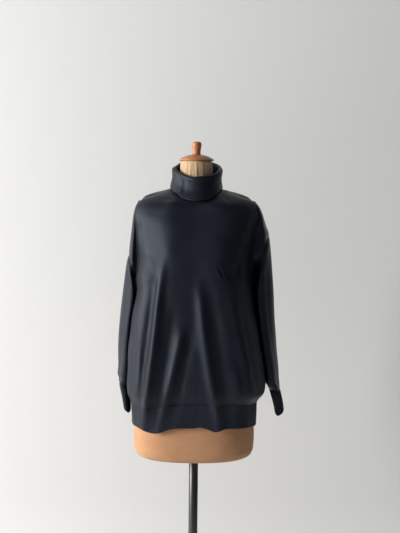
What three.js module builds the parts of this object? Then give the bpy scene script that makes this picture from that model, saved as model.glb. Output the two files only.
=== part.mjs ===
// A loose turtleneck sweater pulled over a limbless dress form on a pole stand.
// Millimetres, +Z up, the wearer's front towards -Y, the picture's right towards +X.
// The origin is the middle of the stand's foot, on the floor.
//
// The cloth is one closed set of sections. Each section runs through named guide points from the
// front centre, round the side to the back centre. Front and back are the two halves of it, and
// above the underarm each half reaches round the dropped shoulder to a seam. The sleeves start on
// the armhole seams, so all panels share their seam points and stand a hair apart there.
import * as THREE from "three";

// Cloth
const CLOTH = 1.8; // wall of the knitted panels
const SEAM_GAP = 0.5; // between two panels at a seam
const UNDERARM_STEP = 1.2; // how far a sleeve stands off the body under the arm
const RIB_WALL = 1.5; // plain wall under the ribs
const RIB_HEIGHT = 0.8; // how far a rib stands out of that wall
const HEM_RIBS = 100;
const CUFF_RIBS = 28;

// Dress form and stand
const FORM_BOTTOM = 627;
const FORM_TOP = 1422;
const NECK_TOP = 1491.4;
const KNOB_TOP = 1547;
const PART_GAP = 0.3; // between hard pieces that rest on each other
const POLE_RADIUS = 13.5;
const FOOT_RADIUS = 150;
const SOCKET_TOP = 42;

// Shoulders, neck and armholes
const SHOULDER_TIP = {
  right: new THREE.Vector3(176, 0, 1381),
  left: new THREE.Vector3(172, 0, 1380),
};
const SHOULDER_SAG = 7;
const NECK_SIDE = new THREE.Vector3(72, 0, 1412.4);
const NECK_FRONT = { y: -71, z: 1384 };
const NECK_BACK = { y: 64, z: 1417 };
// The armhole seam is a slanting loop from the dropped shoulder's end down to the underarm.
const ARMHOLE = {
  right: { topX: 212.5, topZ: 1275, underX: 173.5, underZ: 1186, y: 7, front: 62, back: 62 },
  left: { topX: 194, topZ: 1217, underX: 174, underZ: 1151, y: 7, front: 60, back: 62 },
};

const table = (columns, rows) =>
  rows.map((row) => Object.fromEntries(columns.map((name, i) => [name, row[i]])));

// Sections of the body from the hem to the shoulder. front, back: depth at the centre line.
// wideR, wideL: where the front turns round to the side, at depth edge. outR, outL: the widest
// point. riseR, riseL: how much higher the section lies at that side than at the front centre, and
// backRise at the back centre. crown: extra height over the collar bone. corner: depth at four
// fifths of the width, as a share of front. valley, lobe: depth of the hollow between body and
// sleeve, and of the dropped shoulder in front of it. steps: rows of the wall up to the next section.
const BODY = table(
  ["name", "z", "front", "back", "wideR", "wideL", "outR", "outL", "riseR", "riseL", "backRise",
    "crown", "corner", "edge", "valley", "lobe", "steps"],
  [
    ["hem", 740, 118, 127, 172, 172, 183, 183, -12, -15, -5, 0, 0.84, -60, -38, -16, 1],
    ["ribMiddle", 774, 120, 129, 174, 174, 184, 184, -13, -15, -6, 0, 0.84, -60, -38, -16, 1],
    ["ribTop", 809, 124, 131, 177, 179, 186, 187, -13, -16, -6, 0, 0.85, -60, -38, -16, 2],
    ["bulge", 843, 138, 140, 198, 184, 202, 189, -12, -16, -6, 0, 0.86, -66, -42, -18, 2],
    ["low", 900, 140, 140, 196, 185, 200, 190, -8, -14, -4, 0, 0.86, -68, -44, -18, 2],
    ["waist", 980, 138, 136, 181, 184, 187, 188, -4, -8, 0, 0, 0.86, -68, -44, -18, 2],
    ["rib cage", 1062, 135, 131, 165, 174, 174, 178, 0, -6, 2, 0, 0.84, -68, -46, -20, 2],
    ["bust", 1130, 133, 126, 153, 162, 167, 168.5, 8, -16, 4, 0, 0.82, -68, -48, -22, 2],
    ["underarm", 1170, 132, 123, 147, 162, 173.5, 174, 16, -19, 8, 0, 0.8, -68, -49, -26, 3],
    ["armhole", 1208, 128, 121, 148, 158, 193, 184, 21, -24, 10, 0, 0.8, -67, -47, -50, 3],
    ["drop seam", 1245, 121, 119, 152, 155, 212.5, 194, 30, -28, 12, 0, 0.8, -65, -44, -47, 2],
    ["dropped shoulder", 1290, 107, 116, 162, 159, 203, 188, 20, -8, 14, 4, 0.82, -62, -46, -43, 2],
    ["collar bone", 1330, 93, 107, 167, 165, 193, 181.5, 10, 2, 18, 8, 0.82, -54, -44, -36, 2],
    ["shoulder", 1362, 82, 93, 146, 144, 183, 175, 2, 2, 26, 16, 0.72, -42, -36, -24, 2],
    ["seam", 1384, 71, 64, 0, 0, 176, 172, 0, 0, 0, 0, 0, 0, 0, 0, 0],
  ],
);
const section = (name) => BODY.findIndex((row) => row.name === name);

// Where a guide point's height lies between the front centre and the side, and how much crown it has.
const GUIDES = table(
  ["towardsSide", "crownShare", "columns"],
  [
    [0, 0, 4],
    [0.06, 0.35, 3],
    [0.3, 0.9, 2],
    [0.6, 1, 1],
    [0.82, 0.8, 2],
    [0.96, 0.4, 2],
    [1, 0, 0],
  ],
);

// Long folds. Each runs from its top to its bottom in the front view. bow: how far it curves
// outwards in the middle. Positive height is a ridge, negative a trough.
const FRONT_FOLDS = table(
  ["topX", "topZ", "bottomX", "bottomZ", "bow", "topWidth", "bottomWidth", "height"],
  [
    [-90, 1230, -138, 779, 2, 18, 16, 8.5],
    [-56, 1140, -97, 800, 0, 18, 17, -8.5],
    [-26, 1095, -86, 800, 2, 17, 15, 7.5],
    [-2, 1080, -54, 800, 0, 22, 20, -7],
    [6, 1190, 62, 790, -8, 18, 16, 8.5],
    [36, 1165, 92, 800, 2, 21, 19, -8.5],
    [80, 1215, 165, 820, 0, 18, 15, 6.5],
    [120, 1150, 174, 860, 0, 16, 13, -5.5],
    [114, 945, 118, 800, 0, 9, 9, 2.5],
    [-170, 1060, -176, 850, 0, 7, 8, -4],
  ],
);
const BACK_FOLDS = table(
  ["topX", "topZ", "bottomX", "bottomZ", "bow", "topWidth", "bottomWidth", "height"],
  [
    [-92, 1260, -128, 775, 8, 22, 18, 9],
    [-62, 1210, -92, 785, 4, 22, 20, -9],
    [-28, 1180, -50, 780, 6, 20, 18, 7],
    [0, 1150, 2, 775, 0, 24, 24, -8],
    [34, 1210, 52, 780, -5, 20, 18, 8],
    [66, 1190, 98, 790, -5, 22, 20, -8],
    [98, 1265, 136, 780, -8, 20, 16, 9],
    [-150, 1100, -158, 800, 0, 12, 12, -5],
    [150, 1120, 164, 810, 0, 12, 12, -5],
  ],
);
// The hem's lower edge lifts under a trough and sags under a ridge.
const HEM_WAVES = table(
  ["x", "width", "lift"],
  [
    [-112, 36, -15],
    [18, 14, 3],
    [60, 19, -9],
  ],
);

// Sections of a sleeve from the armhole down. x, y: middle. thick, wide: half sizes across and
// along the body's side. tilt: how much higher the outer side lies than the inner.
const SLEEVES = {
  right: table(
    ["z", "x", "y", "thick", "wide", "tilt"],
    [
      [1230, 195, 7, 18.5, 62, 44],
      [1180, 201, 9, 20.5, 66, 26],
      [1120, 200, 13, 27.6, 70, 8],
      [1030, 207.4, 15, 26, 69, 0],
      [960, 216, 13, 23.5, 65, 0],
      [895, 225.5, 8, 21, 59, 0],
      [856, 228, 6, 21.6, 52, 0],
      [828, 236, 5, 15, 40, 0],
    ],
  ),
  left: table(
    ["z", "x", "y", "thick", "wide", "tilt"],
    [
      [1184, 186.5, 7, 9.5, 60, 33],
      [1148, 192.5, 10, 12.5, 64, 18],
      [1100, 193.6, 14, 18.4, 68, 6],
      [1030, 202.7, 18, 17.8, 69, 0],
      [960, 208.1, 20, 16.9, 65, 0],
      [895, 209.5, 19, 16.5, 58, 0],
      [862, 209.5, 19, 16.5, 51, 2],
      [836, 208, 19, 13.5, 40, 3],
    ],
  ),
};
const SLEEVE_RINGS = 14;
const SLEEVE_SPLIT = 2; // sleeve columns for each row of the body at the armhole
// Folds that run down a sleeve. turn: place round the tube, 0 outer, 0.25 front, 0.5 inner.
const SLEEVE_FOLDS = table(
  ["turn", "drift", "width", "height"],
  [
    [0.12, 0.03, 0.05, -3.4],
    [0.24, 0.05, 0.05, 3],
    [0.38, 0, 0.06, -3],
    [0.66, 0.02, 0.06, -3],
    [0.86, -0.05, 0.06, -3.4],
  ],
);
const CUFFS = {
  right: table(
    ["z", "x", "y", "thick", "wide", "tilt"],
    [
      [827.8, 236.3, 5, 14.8, 39.5, 0],
      [790, 246.5, 5, 13, 38, 3],
      [760, 252.5, 6, 11, 39.5, 7],
    ],
  ),
  left: table(
    ["z", "x", "y", "thick", "wide", "tilt"],
    [
      [835.8, 207.9, 19, 13.3, 39.5, 3],
      [797, 202.6, 21, 10.4, 37.5, 3],
      [761, 199.5, 24, 9, 38.5, 8],
    ],
  ),
};

// The folded collar, from the neck seam up its inner layer, over the fold and down to its edge.
// Reach from the neck's middle and height, at the front, sides and back.
const COLLAR_RIM = { front: 69, back: 74, side: 72, frontZ: 1444, sideZ: 1472, backZ: 1500 };
const COLLAR_EDGE = { front: 88, back: 80, side: 74.5, frontZ: 1377, sideZ: 1415, backZ: 1423 };
const RIM_RISE = 1.4; // below 2 lifts the rim sooner on its way round to the back
const COLLAR_FOLD = 4.2; // radius of the fold at the rim, at the middle of the wall
const COLLAR_WALL = 2;

// Small helpers
const mix = (a, b, t) => a + (b - a) * t;
const clamp = (x, low = 0, high = 1) => Math.min(high, Math.max(low, x));
const smooth = (x) => clamp(x) ** 2 * (3 - 2 * clamp(x));
const hill = (x) => Math.exp(-x * x);
const vec = (x, y, z) => new THREE.Vector3(x, y, z);

// A smooth curve through points at whole numbers, evaluated at t.
function through(points, t) {
  const last = points.length - 1;
  const i = clamp(Math.floor(t), 0, last - 1);
  const f = t - i;
  const at = (k) => points[clamp(k, 0, last)];
  const before = i === 0 ? at(0).clone().multiplyScalar(2).sub(at(1)) : at(i - 1);
  const after = i + 2 > last ? at(last).clone().multiplyScalar(2).sub(at(last - 1)) : at(i + 2);
  const one = (a, b, c, d) =>
    0.5 * (2 * b + (c - a) * f + (2 * a - 5 * b + 4 * c - d) * f * f
      + (3 * b - a - 3 * c + d) * f ** 3);
  return vec(
    one(before.x, at(i).x, at(i + 1).x, after.x),
    one(before.y, at(i).y, at(i + 1).y, after.y),
    one(before.z, at(i).z, at(i + 1).z, after.z),
  );
}

// The same for one column of a table.
function column(rows, name, t) {
  return through(rows.map((row) => vec(row[name], 0, 0)), t).x;
}

// The armhole seam, turn 0 at the dropped shoulder's end, 0.5 at the underarm, through the front.
function armholePoint(side, turn) {
  const a = ARMHOLE[side];
  const down = (1 - Math.cos(2 * Math.PI * turn)) / 2;
  const reach = turn < 0.5 ? a.front : a.back;
  const sign = side === "left" ? -1 : 1;
  return vec(
    sign * mix(a.topX, a.underX, down),
    a.y - reach * Math.sin(2 * Math.PI * turn),
    mix(a.topZ, a.underZ, down),
  );
}

// The guide points of one section on one side, from the centre line to the side. half: "front" or
// "back".
function guidePoints(row, side, half) {
  const sign = side === "left" ? -1 : 1;
  const front = half === "front";
  if (row.name === "seam")
    return GUIDES.map((_, i) => topEdge(i, side, half));
  const wide = (side === "left" ? row.wideL : row.wideR) + (front ? 0 : 4);
  const out = side === "left" ? row.outL : row.outR;
  const rise = side === "left" ? row.riseL : row.riseR;
  const depth = front ? -row.front : row.back;
  const turned = front ? 1 : -1;
  const sideY = 7;
  const onLobe = row.z > BODY[section("underarm")].z;
  const valley = onLobe && !front ? row.valley * 1.15 : row.valley;
  const seats = [
    [0, depth],
    [0.46 * wide, depth * (front ? 1 : 0.99)],
    [0.82 * wide, depth * (front ? row.corner : Math.max(row.corner, 0.8))],
    [wide, turned * row.edge],
    [mix(wide, out, onLobe ? 0.3 : 0.55), turned * valley],
    [mix(wide, out, onLobe ? 0.72 : 0.8), turned * row.lobe + (front ? 0 : sideY)],
    [out, sideY],
  ];
  const centre = row.z + (front ? 0 : row.backRise);
  return seats.map(([x, y], i) =>
    vec(sign * x, y, mix(centre, row.z + rise, GUIDES[i].towardsSide)
      + row.crown * GUIDES[i].crownShare));
}

// The panels' top edge: half the neckline up to guide 2, then the shoulder seam to its tip.
function topEdge(u, side, half) {
  const sign = side === "left" ? -1 : 1;
  const neck = half === "front" ? NECK_FRONT : NECK_BACK;
  const across = Math.abs(u);
  if (across >= 2) {
    const share = (across - 2) / 4;
    const seam = NECK_SIDE.clone().lerp(SHOULDER_TIP[side], share);
    return vec(sign * seam.x, seam.y, seam.z - SHOULDER_SAG * Math.sin(Math.PI * share));
  }
  const turn = (Math.PI / 4) * across;
  return vec(
    sign * NECK_SIDE.x * Math.sin(turn),
    neck.y * Math.cos(turn),
    mix(NECK_SIDE.z, neck.z, Math.cos(turn) ** 1.3),
  );
}

// A point of the body cloth without its folds. v: section number. u: -6 at the left seam, 0 at the
// centre line, 6 at the right seam.
function bodyPoint(v, u, half) {
  if (v === section("seam")) return topEdge(u, u < 0 ? "left" : "right", half);
  const left = sectionPoints(v, "left", half);
  const right = sectionPoints(v, "right", half);
  const ring = [...left.slice(1).reverse(), ...right];
  return through(ring, u + GUIDES.length - 1);
}

// The guide points at any height on one side, which end on the armhole seam where there is one.
function sectionPoints(v, side, half) {
  const last = GUIDES.length - 1;
  const lines = BODY.map((row) => guidePoints(row, side, half));
  const points = GUIDES.map((_, i) => through(lines.map((line) => line[i]), v));
  const [bust, underarm, dropSeam] = ["bust", "underarm", "drop seam"].map(section);
  if (v >= underarm && v <= dropSeam) {
    const turn = 0.5 - (v - underarm) / (dropSeam - underarm) / 2;
    points[last] = armholePoint(side, half === "front" ? turn : 1 - turn);
  }
  // Just below the underarm the side stays in, then arches out to the seam.
  const below = v - bust;
  if (below > 0 && below < 1)
    points[last].x = mix(lines[bust][last].x, lines[underarm][last].x, below ** 3);
  return points;
}

// How far the folds move the cloth out at a place in the front view.
function foldHeight(folds, x, z) {
  return folds.reduce((sum, f) => {
    const t = (f.topZ - z) / (f.topZ - f.bottomZ);
    const line = mix(f.topX, f.bottomX, t) + f.bow * Math.sin(Math.PI * clamp(t));
    const width = mix(f.topWidth, f.bottomWidth, clamp(t));
    const fade = smooth(t / 0.35) * (1 - 0.55 * smooth((t - 0.88) / 0.2));
    return sum + f.height * fade * hill((x - line) / width);
  }, 0);
}

function hemLift(x, half) {
  if (half === "back") return 0;
  return HEM_WAVES.reduce((sum, w) => sum + w.lift * hill((x - w.x) / w.width), 0);
}

// A point of the body cloth with its folds.
function clothPoint(v, u, half) {
  const point = bodyPoint(v, u, half);
  const step = 0.05;
  const a = bodyPoint(v, u - step, half);
  const b = bodyPoint(v, u + step, half);
  const along = vec(b.x - a.x, b.y - a.y, 0).normalize();
  const turned = half === "front" ? 1 : -1;
  const out = vec(along.y * turned, -along.x * turned, 0);
  const folds = half === "front" ? FRONT_FOLDS : BACK_FOLDS;
  const seamward = 1 - smooth((Math.abs(u) - 4.2) / 1.4);
  const height = foldHeight(folds, point.x, point.z) * seamward;
  const share = 1 - 0.35 * smooth((section("ribTop") - v) / 2);
  point.addScaledVector(out, height * share);
  const onRib = 1 - smooth((v - 0.5) / 3.5);
  point.z += hemLift(point.x, half) * onRib * seamward;
  return point;
}

// A grid is {rows, wrap, flip}. rows[j][i] is a point, wrap says that each row closes on itself.
const sections = (from, to) => {
  const list = [];
  for (let s = from; s < to; s++)
    for (let k = 0; k < BODY[s].steps; k++) list.push(s + k / BODY[s].steps);
  return [...list, to];
};
const columnsAcross = () => {
  const half = [];
  GUIDES.forEach((g, i) => {
    for (let k = 0; k < g.columns; k++) half.push(i + k / g.columns);
  });
  half.push(GUIDES.length - 1);
  return [...half.slice(1).reverse().map((u) => -u), ...half];
};

function panelGrid(half) {
  const across = columnsAcross();
  const order = half === "front" ? across : across.map((u) => -u);
  const rows = sections(section("ribTop"), section("seam")).map((v) =>
    order.map((u) => clothPoint(v, u, half)));
  return { rows, wrap: false };
}

// The armhole's points at the body's rows, from the dropped shoulder's end through the front.
function seamLoop(side) {
  const rows = BODY.slice(section("underarm"), section("drop seam"))
    .reduce((sum, row) => sum + row.steps, 0);
  return Array.from({ length: 2 * rows }, (_, i) => armholePoint(side, i / (2 * rows)));
}

function sleeveGrid(side) {
  const sign = side === "left" ? -1 : 1;
  const loop = seamLoop(side);
  const count = loop.length * SLEEVE_SPLIT;
  const shape = SLEEVES[side];
  const seamAt = (i) => {
    const before = Math.floor(i / SLEEVE_SPLIT);
    const share = (i % SLEEVE_SPLIT) / SLEEVE_SPLIT;
    return loop[before].clone().lerp(loop[(before + 1) % loop.length], share);
  };
  const rows = [];
  for (let j = 0; j <= SLEEVE_RINGS; j++) {
    const t = j / SLEEVE_RINGS;
    const at = t * (shape.length - 1);
    const ring = [];
    for (let i = 0; i < count; i++) {
      const turn = i / count;
      const free = tubePoint(shape, at, turn, sign, sleeveFold(turn, t));
      const seam = seamAt(i);
      const loose = smooth(j / 3);
      ring.push(j === 0 ? seam : seam.clone().lerp(free, j < 3 ? mix(0.5, 1, loose) : 1));
    }
    rows.push(ring);
  }
  return { rows, wrap: true, flip: side === "left", split: SLEEVE_SPLIT };
}

function sleeveFold(turn, t) {
  return SLEEVE_FOLDS.reduce((sum, f) => {
    let away = turn - f.turn - f.drift * Math.sin(5 * t);
    away -= Math.round(away);
    return sum + f.height * smooth(t / 0.2) * (1 - 0.6 * smooth((t - 0.9) / 0.1))
      * hill(away / f.width);
  }, 0);
}

// A point on a flattened tube given by its table of sections.
function tubePoint(rows, at, turn, sign, swell) {
  const angle = 2 * Math.PI * turn;
  const round = 0.86;
  const across = Math.sign(Math.cos(angle)) * Math.abs(Math.cos(angle)) ** round;
  const along = Math.sign(Math.sin(angle)) * Math.abs(Math.sin(angle)) ** round;
  const thick = column(rows, "thick", at) + swell;
  const wide = column(rows, "wide", at) + swell;
  return vec(
    sign * (column(rows, "x", at) + thick * across),
    column(rows, "y", at) - wide * along,
    column(rows, "z", at) + column(rows, "tilt", at) * Math.cos(angle),
  );
}

// Normals of all panels together, so that neighbours agree along their seams.
const place = (p) => `${Math.round(p.x * 50)},${Math.round(p.y * 50)},${Math.round(p.z * 50)}`;
function sharedNormals(grids) {
  const sums = new Map();
  const add = (p, n) => {
    const key = place(p);
    if (!sums.has(key)) sums.set(key, vec(0, 0, 0));
    sums.get(key).add(n);
  };
  for (const { rows, wrap, flip } of grids)
    for (let j = 0; j + 1 < rows.length; j++)
      for (let i = 0; i < rows[j].length - (wrap ? 0 : 1); i++) {
        const k = (i + 1) % rows[j].length;
        const corners = [rows[j][i], rows[j][k], rows[j + 1][k], rows[j + 1][i]];
        const n = corners[2].clone().sub(corners[0]).cross(corners[3].clone().sub(corners[1]));
        if (flip) n.negate();
        corners.forEach((p) => add(p, n));
      }
  for (const side of ["left", "right"]) evenOut(sums, seamLoop(side).map(place));
  return (p) => sums.get(place(p)).clone().normalize();
}

// Evens out the normals round an armhole, so that the wall doesn't twist along the seam.
function evenOut(sums, keys) {
  const count = keys.length;
  for (let pass = 0; pass < 3; pass++) {
    const normals = keys.map((key) => sums.get(key).clone().normalize());
    keys.forEach((key, i) => {
      const sides = normals[(i + 1) % count].clone().add(normals[(i + count - 1) % count]);
      sums.set(key, normals[i].clone().multiplyScalar(2).add(sides));
    });
  }
}

// Moves the rim of a grid inwards along the cloth, so that two panels don't touch at their seam.
// The move is measured square to the seam, which a slanting row meets at a narrow angle.
function drawIn({ rows, wrap }, amount) {
  const inwards = (p, q, before, after) => {
    const seam = after.clone().sub(before).normalize();
    const way = q.clone().sub(p).normalize();
    const square = way.clone().addScaledVector(seam, -way.dot(seam)).length();
    return p.clone().addScaledVector(way, amount / Math.max(square, 0.3));
  };
  const last = rows.length - 1;
  const wide = rows[0].length;
  const around = (i) => (wrap ? (i + wide) % wide : clamp(i, 0, wide - 1));
  const drawn = rows.map((row) => row.map((p) => p.clone()));
  for (const [j, k] of [[0, 1], [last, last - 1]])
    rows[j].forEach((p, i) => {
      drawn[j][i] = inwards(p, rows[k][i], rows[j][around(i - 1)], rows[j][around(i + 1)]);
    });
  if (wrap) {
    // Under the arm the sleeve's wall stands beside the body's, one thickness further out.
    drawn[0].forEach((p, i) => {
      const under = ((1 - Math.cos((2 * Math.PI * i) / wide)) / 2) ** 4;
      p.x += Math.sign(p.x) * UNDERARM_STEP * under;
    });
    return drawn;
  }
  for (const [i, k] of [[0, 1], [wide - 1, wide - 2]])
    rows.forEach((row, j) => {
      const before = rows[Math.max(j - 1, 0)][i];
      const after = rows[Math.min(j + 1, last)][i];
      const moved = inwards(row[i], row[k], before, after).sub(row[i]);
      drawn[j][i].add(moved);
    });
  // A corner lies on two seams, so it gives way along the cloth between them.
  for (const [j, k] of [[0, 1], [last, last - 1]])
    for (const [i, m] of [[0, 1], [wide - 1, wide - 2]]) {
      const way = rows[k][m].clone().sub(rows[j][i]).setLength(1.6 * amount);
      drawn[j][i] = rows[j][i].clone().add(way);
    }
  return drawn;
}

// A closed solid from its triangles, turned to face out.
function solid(faces) {
  const positions = [];
  for (const [a, b, c] of faces) positions.push(...a.toArray(), ...b.toArray(), ...c.toArray());
  let volume = 0;
  for (const [a, b, c] of faces) volume += a.dot(b.clone().cross(c));
  if (volume < 0)
    for (let i = 0; i < positions.length; i += 9)
      for (let k = 0; k < 3; k++)
        [positions[i + 3 + k], positions[i + 6 + k]] = [positions[i + 6 + k], positions[i + 3 + k]];
  const geometry = new THREE.BufferGeometry();
  geometry.setAttribute("position", new THREE.Float32BufferAttribute(positions, 3));
  geometry.computeVertexNormals();
  return geometry;
}

const quad = (a, b, c, d) => {
  // The shorter diagonal keeps a curved wall even.
  if (a.distanceTo(c) <= b.distanceTo(d)) return [[a, b, c], [a, c, d]];
  return [[a, b, d], [b, c, d]];
};

// A sleeve's seam points between two of the body's rows share the body's straight edge.
function edgeNormal({ rows, split }, normalAt, i, j) {
  if (j > 0 || !split || i % split === 0) return normalAt(rows[j][i]);
  const before = i - (i % split);
  const after = (before + split) % rows[j].length;
  return normalAt(rows[j][before]).lerp(normalAt(rows[j][after]), (i % split) / split);
}

// The wall of a panel: its points moved out and in by half the thickness.
function wall(grid, normalAt) {
  // A sleeve gives way more, because its seam is bent where the panels' is straight.
  const moved = drawIn(grid, grid.wrap ? 1.8 * SEAM_GAP : SEAM_GAP / 2);
  const sheet = (amount) =>
    moved.map((row, j) =>
      row.map((p, i) => {
        const n = edgeNormal(grid, normalAt, i, j);
        if (j === 0 && !grid.wrap) n.setZ(0).normalize();
        return p.clone().addScaledVector(n, amount);
      }));
  return sheetsToSolid(sheet(CLOTH / 2), sheet(-CLOTH / 2), grid.wrap);
}

// A closed wall between two matching sheets of points.
function sheetsToSolid(outer, inner, wrap) {
  const faces = [];
  const high = outer.length - 1;
  const wide = outer[0].length;
  const next = (i) => (i + 1) % wide;
  for (let j = 0; j < high; j++)
    for (let i = 0; i < wide - (wrap ? 0 : 1); i++) {
      const k = next(i);
      faces.push(...quad(outer[j][i], outer[j][k], outer[j + 1][k], outer[j + 1][i]));
      faces.push(...quad(inner[j][i], inner[j + 1][i], inner[j + 1][k], inner[j][k]));
    }
  for (let i = 0; i < wide - (wrap ? 0 : 1); i++) {
    const k = next(i);
    faces.push(...quad(outer[0][i], inner[0][i], inner[0][k], outer[0][k]));
    faces.push(...quad(outer[high][i], outer[high][k], inner[high][k], inner[high][i]));
  }
  if (!wrap)
    for (let j = 0; j < high; j++) {
      const e = wide - 1;
      faces.push(...quad(outer[j][0], outer[j + 1][0], inner[j + 1][0], inner[j][0]));
      faces.push(...quad(outer[j][e], inner[j][e], inner[j + 1][e], outer[j + 1][e]));
    }
  return solid(faces);
}

// A ribbed tube: rings of points at even steps, the outer ones alternately high and low, over a
// plain inside with one point for each rib.
function ribbedTube(rings, ribs) {
  const outer = [];
  const inner = [];
  for (const ring of rings) {
    const even = evenly(ring, 2 * ribs);
    const outward = even.map((p, i) => {
      const a = even[(i + 2 * ribs - 2) % (2 * ribs)];
      const b = even[(i + 2) % (2 * ribs)];
      return vec(b.y - a.y, a.x - b.x, 0).normalize();
    });
    outer.push(even.map((p, i) =>
      p.clone().addScaledVector(outward[i], RIB_WALL / 2 + (i % 2 ? 0 : RIB_HEIGHT))));
    inner.push(even.filter((_, i) => i % 2 === 1).map((p, i) =>
      p.clone().addScaledVector(outward[2 * i + 1], -RIB_WALL / 2)));
  }
  const faces = [];
  const count = 2 * ribs;
  for (let j = 0; j + 1 < rings.length; j++) {
    for (let i = 0; i < count; i++) {
      const k = (i + 1) % count;
      faces.push([outer[j][i], outer[j][k], outer[j + 1][k]],
        [outer[j][i], outer[j + 1][k], outer[j + 1][i]]);
    }
    for (let i = 0; i < ribs; i++) {
      const k = (i + 1) % ribs;
      faces.push([inner[j][i], inner[j + 1][k], inner[j][k]],
        [inner[j][i], inner[j + 1][i], inner[j + 1][k]]);
    }
  }
  const high = rings.length - 1;
  for (let i = 0; i < ribs; i++) {
    // Inner point i stands behind outer point 2i + 1, a low one.
    const k = (i + 1) % ribs;
    const low = 2 * i + 1;
    const top = (low + 1) % count;
    const far = (low + 2) % count;
    for (const [j, flip] of [[0, false], [high, true]]) {
      const rim = [
        [outer[j][low], inner[j][i], outer[j][top]],
        [inner[j][i], inner[j][k], outer[j][top]],
        [inner[j][k], outer[j][far], outer[j][top]],
      ];
      faces.push(...rim.map(([a, b, c]) => (flip ? [a, c, b] : [a, b, c])));
    }
  }
  return solid(faces);
}

// count points at even steps of length round a closed ring.
function evenly(ring, count) {
  const closed = [...ring, ring[0]];
  const lengths = [0];
  for (let i = 1; i < closed.length; i++)
    lengths.push(lengths[i - 1] + closed[i].distanceTo(closed[i - 1]));
  const total = lengths[lengths.length - 1];
  let k = 0;
  return Array.from({ length: count }, (_, i) => {
    const at = (total * i) / count;
    while (lengths[k + 1] < at) k++;
    return closed[k].clone().lerp(closed[k + 1], (at - lengths[k]) / (lengths[k + 1] - lengths[k]));
  });
}

function hemGeometry() {
  const across = columnsAcross().slice(0, -1);
  const ring = (v, drop) =>
    ["front", "back"].flatMap((half) =>
      across.map((u) => {
        const p = clothPoint(v, half === "front" ? u : -u, half);
        return p.setZ(p.z - drop);
      }));
  const top = section("ribTop");
  return ribbedTube([ring(0, 0), ring(top / 2, 0), ring(top, 1.7 * SEAM_GAP)], HEM_RIBS);
}

function cuffGeometry(side) {
  const sign = side === "left" ? -1 : 1;
  const shape = CUFFS[side];
  const fine = 72;
  const rings = shape.map((_, at) =>
    Array.from({ length: fine }, (_, i) => {
      const turn = (side === "left" ? 1 - i / fine : i / fine) % 1;
      return tubePoint(shape, at, turn, sign, 0);
    }));
  return ribbedTube(rings.map((r) => r.reverse()).reverse(), CUFF_RIBS);
}

// The folded collar, cut above each point of the panels' neckline and joined from cut to cut.
function collarGeometry(front, back) {
  const neckPoints = (grid) => {
    const top = grid.rows[grid.rows.length - 1];
    const half = GUIDES[0].columns + GUIDES[1].columns;
    const middle = (top.length - 1) / 2;
    return top.slice(middle - half, middle + half);
  };
  const ring = [...neckPoints(front), ...neckPoints(back)];
  const profiles = ring.map((foot) => collarProfile(foot));
  const faces = [];
  const count = profiles.length;
  for (let i = 0; i < count; i++) {
    const a = profiles[i];
    const b = profiles[(i + 1) % count];
    for (let j = 0; j < a.length; j++) {
      const k = (j + 1) % a.length;
      faces.push(...quad(a[j], b[j], b[k], a[k]));
    }
  }
  return solid(faces);
}

// A value that goes smoothly from front to side to back round the neck.
function roundNeck(direction, front, side, back, power = 2) {
  const share = Math.abs(direction.y) ** power;
  return mix(side, direction.y < 0 ? front : back, share);
}

// One cut through the folded collar above a point of the neck seam, as a closed outline.
function collarProfile(foot) {
  const flat = vec(foot.x, foot.y - 2, 0);
  const direction = flat.clone().normalize();
  const rim = roundNeck(direction, COLLAR_RIM.front, COLLAR_RIM.side, COLLAR_RIM.back);
  const { frontZ, sideZ, backZ } = COLLAR_RIM;
  const rimZ = roundNeck(direction, frontZ, sideZ, backZ, RIM_RISE);
  const edge = roundNeck(direction, COLLAR_EDGE.front, COLLAR_EDGE.side, COLLAR_EDGE.back);
  const edgeZ = roundNeck(direction, COLLAR_EDGE.frontZ, COLLAR_EDGE.sideZ, COLLAR_EDGE.backZ);
  const footReach = flat.length();
  const footZ = foot.z + CLOTH / 2 + 0.8 * SEAM_GAP;
  const inner = rim - 2 * COLLAR_FOLD;
  // The middle line of the wall: reach and height.
  const line = [
    [footReach - 0.5, footZ],
    [mix(footReach, inner, 0.55), mix(footZ, rimZ, 0.35)],
    [inner - 0.5, mix(footZ, rimZ, 0.7)],
    [inner, rimZ - COLLAR_FOLD],
    [inner + COLLAR_FOLD * 0.3, rimZ - COLLAR_FOLD * 0.3],
    [inner + COLLAR_FOLD, rimZ],
    [inner + COLLAR_FOLD * 1.7, rimZ - COLLAR_FOLD * 0.3],
    [rim, rimZ - COLLAR_FOLD],
    [mix(rim, edge, 0.12), mix(rimZ, edgeZ, 0.34)],
    [mix(rim, edge, 0.4), mix(rimZ, edgeZ, 0.68)],
    [edge, edgeZ],
  ];
  const outline = (amount) => line.map(([r, z], i) => {
    const a = line[Math.max(0, i - 1)];
    const b = line[Math.min(line.length - 1, i + 1)];
    const length = Math.hypot(b[0] - a[0], b[1] - a[1]);
    const flatFoot = i === 0;
    const nr = flatFoot ? -1 : -(b[1] - a[1]) / length;
    const nz = flatFoot ? 0 : (b[0] - a[0]) / length;
    return [r + nr * amount, z + nz * amount];
  });
  const loop = [...outline(COLLAR_WALL / 2), ...outline(-COLLAR_WALL / 2).reverse()];
  return loop.map(([r, z]) => vec(direction.x * r, direction.y * r + 2, z));
}

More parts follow.
